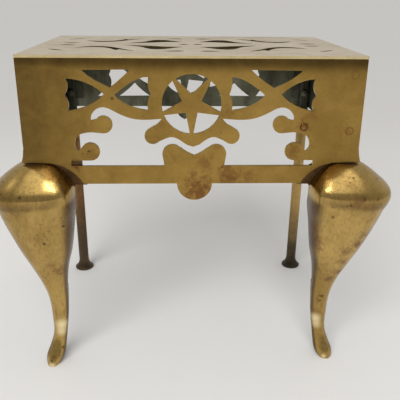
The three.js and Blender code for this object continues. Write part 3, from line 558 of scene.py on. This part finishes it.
def hollow_rings(hand, count, quarter):
    """The core: it follows the outside at the wall's thickness, open to the inner quarter."""
    reach, wall, low, high = 60, 5, 84, 209
    rings = []
    for i in range(count + 1):
        height = low + (high - low) * i / count
        inward, half, squareness = at_height(height)
        inward -= lean(hand, height)
        centre = CORNER + Vector((-inward, inward))
        ring = []
        for k in range(3 * quarter + 1):
            edge = rounded_square(half - wall, squareness, math.pi + 0.5 * math.pi * k / quarter)
            ring.append(Vector((*(centre + edge), height)))
        for x, y in ((0, reach), (-reach, reach), (-reach, 0)):
            ring.append(Vector((*(centre + Vector((x, y))), height)))
        rings.append(ring)
    return rings


def at_height(height):
    """Distance in, half width and squareness of the leg at a height."""
    i = max(1, next(k for k, row in enumerate(CABRIOLE) if row[0] >= height))
    below, above = CABRIOLE[i - 1], CABRIOLE[i]
    share = (height - below[0]) / (above[0] - below[0])
    return [a + share * (b - a) for a, b in zip(below[1:], above[1:])]


BEHIND_APRON, INSIDE_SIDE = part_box("side_panel_right")[0].y / MM, 149.8
LUG_THICKNESS, LUG_ROOT = 5, -127
LUG_REACH = {"left": 101.6, "right": 115.5}


def lug_outline(reach):
    """Outline of the lug, [x, depth below the plate's top]. Its free edge shows below the arch."""
    return [
        [INSIDE_SIDE, -78], [119, -78], [reach + 2, -91], [reach, -96], [min(reach, 102.5), -103.5],
        [98.6, -109.5], [97.8, -117.2], [108.5, -117.2], [114, LUG_ROOT], [INSIDE_SIDE, LUG_ROOT],
    ]


def slab(outline, thickness):
    """A flat plate raised from its outline."""
    shell = bmesh.new()
    corners = [shell.verts.new(Vector(place) * MM) for place in outline]
    face = bmesh.ops.contextual_create(shell, geom=corners)["faces"][0]
    grown = bmesh.ops.extrude_face_region(shell, geom=[face])["geom"]
    far_side = [v for v in grown if isinstance(v, bmesh.types.BMVert)]
    bmesh.ops.translate(shell, verts=far_side, vec=Vector(thickness) * MM)
    bmesh.ops.recalc_face_normals(shell, faces=shell.faces)
    return shell


def carved(piece, tool_shell, operation):
    """Cuts a shell from a piece, or joins it on."""
    tool = placed(tool_shell, "tool", [], crisp=30)
    cut = piece.modifiers.new("cut", "BOOLEAN")
    cut.operation = operation
    cut.solver = "EXACT"
    cut.object = tool
    whole = bpy.data.meshes.new_from_object(piece.evaluated_get(bpy.context.evaluated_depsgraph_get()))
    piece.modifiers.clear()
    piece.data = whole
    bpy.data.objects.remove(tool)


leg_marks = {
    "left": {
        "spots": [
            [-128, -101, 111, 9, 0.6], [-134, -106, 118, 8, 0.4], [-110, -98, 178, 9, 0.7],
            [-113, -93, 155, 9, 0.6], [-143, -118, 152, 10, 0.3],
        ],
        "holes": [
            [-120.5, -119.7, 174.6, 1.8, 1], [-118.7, -114.6, 163.6, 1.7, 1],
            [-137.1, -116.2, 146.4, 2, 0.9], [-136, -123.8, 168.7, 1.6, 0.6],
            [-114.5, -115.6, 187.4, 1.7, 1], [-111.7, -109.9, 185.2, 1.5, 0.9],
            [-109.9, -101.3, 180.9, 2, 0.9], [-150.6, -129.4, 196.6, 1.7, 0.8],
            [-116, -97.7, 205.5, 1.6, 0.8], [-134.1, -92.2, 16.5, 2, 0.9],
            [-144.9, -101.4, 6, 1.6, 0.8], [-142.9, -100, 8.7, 2.3, 0.5],
            [-141.5, -120.2, 157.4, 1.2, 0.7], [-119, -120, 179.3, 1.3, 0.7],
        ],
        # The ankle and toe-tip spots are painted highlights.
        "painted_highlights": [[-134.2, -89.4, 42, 10, 1], [-135, -90, 34, 8, 0.8], [-144.9, -103.1, 2, 5, 1]],
    },
    "right": {
        "spots": [
            [115, -106, 156, 8, 0.8], [119, -108, 144, 8, 1], [121, -106, 136, 7, 1],
            [148, -111, 133, 9, 0.8], [156, -112, 142, 9, 0.9], [160, -115, 152, 8, 0.6],
            [161, -128, 186, 9, 0.5], [142, -99, 105, 8, 0.9], [138, -95, 96, 7, 0.8],
            [146, -105, 119, 8, 0.6], [146, -131, 191, 9, 0.5],
        ],
        "holes": [
            [144, -115.5, 209, 1.6, 1], [124.1, -124.7, 192.9, 1.6, 0.9],
            [115.6, -117.6, 185.9, 1.6, 0.9], [128.7, -127.6, 188.2, 1.8, 1],
            [132.1, -128.6, 187.7, 2, 1], [136.2, -129.8, 187.6, 1.4, 0.9],
            [139.7, -130.2, 188.2, 1.8, 0.9], [126.4, -123.7, 175.5, 2.3, 1],
            [151.2, -129.9, 194.2, 1.7, 0.9], [164.1, -128.1, 192.5, 1.6, 0.8],
            [167.8, -109.8, 206.1, 1.7, 0.8], [133.5, -89.4, 72.1, 2.2, 1],
            [132.4, -88.7, 66.3, 1.9, 1], [121.9, -117.2, 162.9, 1.1, 0.7],
        ],
        # The ankle and toe-tip spots are painted highlights.
        "painted_highlights": [[130, -86.4, 44, 9, 0.9], [130.6, -87, 37, 8, 0.7], [139.9, -96.7, 3.2, 4, 0.9]],
    },
}


def leg_film_and_shade(old, blotch):
    """The flanks, the back and the hollow were never polished. The flanks also carry a painted
    dark reflection, and the crease is painted shade.
    """
    unpolished = old.attribute("flank_reflection_and_unpolished") * (0.5 + 0.9 * blotch)
    return unpolished.larger(old.attribute("crease_shade") * (0.2 + 0.6 * blotch))


# The legs' film colour is dirt, with painted shade in the crease and a painted dark reflection on the
# flanks.
leg_brass = {
    hand: brass(
        hand + "_cast_brass", (0.58, 0.395, 0.13), (0.33, 0.213, 0.062), (0.15, 0.058, 0.024), rough=0.2,
        browning=0.65, pitting=0.9, specks=0.45, shift=8, run=(1, 1, 0.3),
        dull=(leg_film_and_shade, (0.115, 0.066, 0.03)), **leg_marks[hand],
    )
    for hand in ("right", "left")
}
# The lugs are painted dark: painted shade, where they sit in the shadow behind the apron.
lug_shade_brass = brass(
    "lug_shade_brass", (0.20, 0.115, 0.05), (0.09, 0.055, 0.03), (0.03, 0.02, 0.012), rough=0.5, shift=9,
)
for hand, turn in (("right", 1), ("left", -1)):
    leg = placed(lofted(leg_rings(hand, count=120, sides=72)), "leg_" + hand, [leg_brass[hand]], crisp=40)
    carved(leg, lofted(hollow_rings(hand, count=40, quarter=18)), "DIFFERENCE")
    front_lug = [Vector((x, BEHIND_APRON, TOP + depth)) for x, depth in lug_outline(LUG_REACH[hand])]
    # Both lugs on the sides have the right one's outline, turned about the corner.
    side_lug = []
    for x, depth in lug_outline(LUG_REACH["right"]):
        y = max(BEHIND_APRON, CORNER.y + CORNER.x - x)
        side_lug.append(Vector((INSIDE_SIDE, y, TOP + depth)))
    carved(leg, slab(front_lug, (0, LUG_THICKNESS, 0)), "UNION")
    carved(leg, slab(side_lug, (-LUG_THICKNESS, 0, 0)), "UNION")
    cast = bmesh.new()
    cast.from_mesh(leg.data)
    bpy.data.objects.remove(leg)
    # Of the two layers below, the first is 1 on the sides, the back and the hollow: unpolished metal,
    # with a painted dark reflection on the sides. The second is 1 in the crease: painted shade.
    flank_reflection_and_unpolished = cast.verts.layers.float.new("flank_reflection_and_unpolished")
    crease_shade = cast.verts.layers.float.new("crease_shade")
    for v in cast.verts:
        height = v.co.z / MM
        inward, half, squareness = at_height(min(height, KNEE_TOP))
        inward -= lean(hand, height)
        centre = CORNER + Vector((-inward, inward))
        x, y = (v.co.x / MM - centre.x) / half, (v.co.y / MM - centre.y) / half
        turned = (x - y) / math.sqrt(2) / max(math.hypot(x, y), 0.01)
        depth = (abs(x) ** squareness + abs(y) ** squareness) ** (1 / squareness)
        side = smooth(0.7, 0.93, abs(x)) * (1 - smooth(184, 190, height))
        v[flank_reflection_and_unpolished] = max(side, smooth(0, 0.4, y), smooth(3, 4.2, half * (1 - depth)))
        # Painted shade in the crease under the cap.
        v[crease_shade] = crease(height + 1, turned, 1, above=9, below=2)
    if turn < 0:
        bmesh.ops.scale(cast, vec=(-1, 1, 1), verts=cast.verts)
        bmesh.ops.reverse_faces(cast, faces=cast.faces)
    for face in cast.faces:
        centre = face.calc_center_median() / MM
        face.smooth = True
        on_lug = centre.y > BEHIND_APRON - 0.2 and abs(centre.x) < INSIDE_SIDE + 0.1
        # Faces on the lugs take the dark metal of painted shade.
        face.material_index = 1 if on_lug and centre.z > TOP + LUG_ROOT - 0.5 else 0
    leg = placed(cast, "leg_" + hand, [leg_brass[hand], lug_shade_brass], crisp=32)
    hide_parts("front_leg_" + hand)
    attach(leg, "root")

# The rear legs are plain rods, flattened above to be riveted in the corners, with penny feet.
# They are never polished: brown above, and nearly black at the floor. The left one is painted
# darker as painted shade.
def floor_film(top, least, colour):
    """Dirt from the floor, thickest at the foot and gone at that height."""

    def share(old, blotch):
        return (1 - old.height().rise(10, top)) * (least + 0.4 * blotch)

    return share, colour


rod_brass = {
    "right": brass(
        "right_rod_brass", (0.60, 0.40, 0.15), (0.42, 0.28, 0.10), (0.10, 0.06, 0.03), rough=0.38,
        browning=0.5, shift=11, dull=floor_film(120, 0.8, (0.062, 0.05, 0.036)),
    ),
    # The left rod is painted darker and browner than the right one: painted shade.
    "left": brass(
        "left_rod_shaded_brass", (0.36, 0.18, 0.065), (0.19, 0.105, 0.042), (0.07, 0.04, 0.022), rough=0.42,
        browning=0.6, shift=12, dull=floor_film(160, 0.7, (0.085, 0.07, 0.048)),
    ),
}
ROD_RADIUS, ROD_SIDES = 6.35, 48
PENNY_RADIUS, PENNY_EDGE = 12.05, 2.6
FLARE_HEIGHT, FLARE_OUT, FLARE_STEPS = 12.4, 5.05, 12
FOOT_X, FOOT_Y = 145.7, FRONT + 217.3
ROUND_TOP, STRAP_X, STRAP_Y = 223.5, 144.1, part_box("side_panel_right")[1].y / MM - 5

# Each row is [height, half width, half depth, squareness].
rod_sections = [
    [0, 11.5, 11.5, 2], [0.6, PENNY_RADIUS, PENNY_RADIUS, 2], [PENNY_EDGE, PENNY_RADIUS, PENNY_RADIUS, 2],
]
for i in range(1, FLARE_STEPS + 1):
    radius = ROD_RADIUS + FLARE_OUT * (1 - i / FLARE_STEPS) ** 2.2
    rod_sections.append([PENNY_EDGE + FLARE_HEIGHT * i / FLARE_STEPS, radius, radius, 2])
rod_sections += [
    [ROUND_TOP, ROD_RADIUS, ROD_RADIUS, 2], [228.5, 5.9, 4, 2.6], [233.5, 5.4, 2.5, 5],
    [300.5, 5.4, 2.5, 5], [304.5, 3.4, 2, 4],
]
for hand, turn in (("right", 1), ("left", -1)):
    rings = []
    for height, half_x, half_y, squareness in rod_sections:
        share = min(height / ROUND_TOP, 1)
        x, y = FOOT_X + share * (STRAP_X - FOOT_X), FOOT_Y + share * (STRAP_Y - FOOT_Y)
        ring = []
        for k in range(ROD_SIDES):
            edge = rounded_square(1, squareness, 2 * math.pi * (k + 0.5) / ROD_SIDES)
            ring.append(Vector((turn * (x + half_x * edge.x), y + half_y * edge.y, height)))
        rings.append(ring)
    shell = lofted(rings)
    for face in shell.faces:
        face.smooth = True
        face.material_index = face.calc_center_median().z > ROUND_TOP * MM
    rod = placed(shell, "rear_leg_" + hand + "_rod", [rod_brass[hand], inner_brass], crisp=35)
    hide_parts("rear_leg_" + hand)
    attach(rod, "root")

# The rivets are soft brass pins. Their outer ends are filed flush with the sheet, so only a
# faint ring shows, and their inner ends are hammered to low domes.
DOME, RIVET_SIDES, SHOWN_DEPTH = 2.2, 28, 2

# The mend's rivet has a low dome outside too. Each pair is [radius, depth], from its outer end.
mend_profile = [
    [0, 0], [1.5, 0.12], [2.7, 0.55], [3.35, 1.1], [3.6, 1.7], [1.8, 1.7], [1.8, 4.5], [3.6, 4.5],
    [3.3, 5.3], [0, 5.7],
]


def flush_profile(length):
    """Half outline of a flush rivet [radius, depth], from its filed end inwards."""
    dome = length - DOME
    return [
        [0, 0.02], [3.15, 0.02], [RIVET_SEAM, 0.12], [3, dome], [4.6, dome], [4.5, dome + 0.6],
        [3.7, dome + 1.5], [2.2, dome + 2], [0, dome + DOME],
    ]


for name in sorted(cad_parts):
    if "rivet" not in name:
        continue
    low, high = (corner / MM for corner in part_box(name))
    middle = (low + high) / 2
    size = high - low
    if name == "scroll_mend_rivet":
        profile = mend_profile
        inward, outer = Vector((0, 1, 0)), Vector((middle.x, low.y, middle.z))
    elif name.startswith("plate_rivet"):
        profile = flush_profile(size.z)
        inward, outer = Vector((0, 0, -1)), Vector((middle.x, middle.y, high.z))
    elif name.endswith("_side"):
        profile = flush_profile(size.x)
        turn = math.copysign(1, middle.x)
        inward, outer = Vector((-turn, 0, 0)), Vector((high.x if turn > 0 else low.x, middle.y, middle.z))
    else:
        profile = flush_profile(size.y)
        turn = 1 if middle.y < 0 else -1
        inward, outer = Vector((0, turn, 0)), Vector((middle.x, low.y if turn > 0 else high.y, middle.z))
    shell = bmesh.new()
    line = [shell.verts.new((radius * MM, 0, depth * MM)) for radius, depth in profile]
    edges = [shell.edges.new(pair) for pair in zip(line, line[1:])]
    bmesh.ops.spin(
        shell, geom=line + edges, cent=(0, 0, 0), axis=(0, 0, 1), angle=2 * math.pi,
        steps=RIVET_SIDES, use_merge=True,
    )
    bmesh.ops.remove_doubles(shell, verts=shell.verts, dist=0.001 * MM)
    bmesh.ops.recalc_face_normals(shell, faces=shell.faces)
    aim = Vector((0, 0, 1)).rotation_difference(inward).to_matrix().to_4x4()
    bmesh.ops.transform(shell, matrix=Matrix.Translation(outer * MM) @ aim, verts=shell.verts)
    for face in shell.faces:
        face.smooth = True
        buried = (face.calc_center_median() / MM - outer).dot(inward) > SHOWN_DEPTH
        face.material_index = 1 if buried else 0
    metal = plate_brass if name.startswith("plate_rivet") else apron_brass
    rivet = placed(shell, name + "_pin", [metal, inner_brass], crisp=35)
    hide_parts(name)
    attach(rivet, "root")
